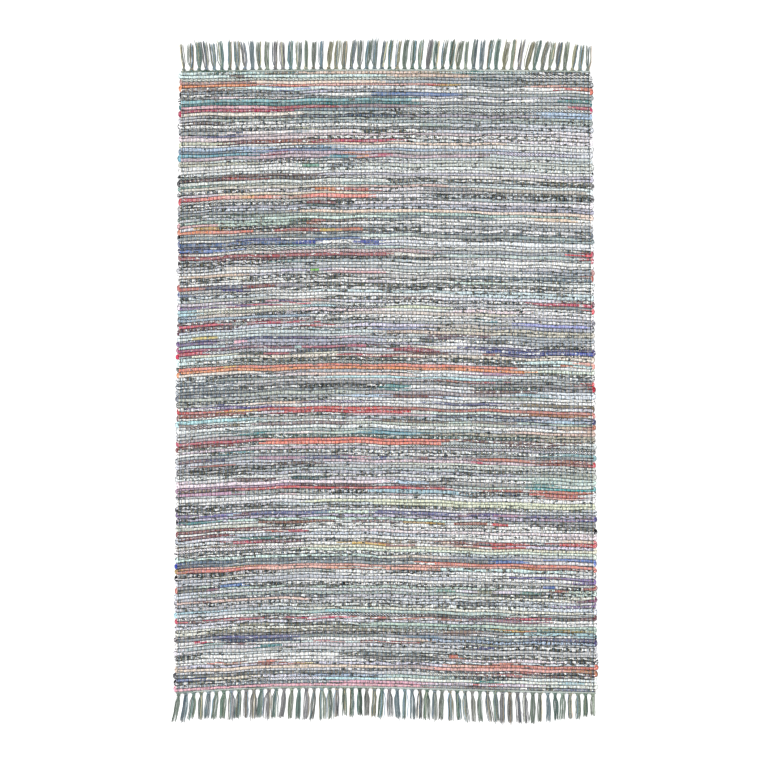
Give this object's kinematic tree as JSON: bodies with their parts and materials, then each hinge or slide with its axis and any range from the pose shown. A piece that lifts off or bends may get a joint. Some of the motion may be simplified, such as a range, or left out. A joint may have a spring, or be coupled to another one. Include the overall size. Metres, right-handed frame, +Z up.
{
  "type": "rag rug",
  "caption": "Flat-woven rag rug with ribbed weft rows, looped selvedges and a knotted warp fringe at both ends; lies flat on a floor.",
  "frame": {"origin": "centre of the rug's footprint, fringes included, on the floor plane", "axes": "+X along the weft rows, +Y along the warp towards the far fringe, +Z up from the floor"},
  "size_m": [1.2152, 1.9482, 0.006],
  "materials": {
    "rag_weft": "torn strips of mixed cotton cloth, pale white, grey and mint with coloured and printed rows, held by a thin cotton warp in ochre, green and blue",
    "warp_yarn": "two-ply cotton warp ends in grey-green, teal, ochre and blue, knotted and cut to a soft fringe"
  },
  "bodies": {
    "root": {"woven_body": "rag_weft", "fringe_far": "warp_yarn", "fringe_near": "warp_yarn"}
  },
  "joints": []
}
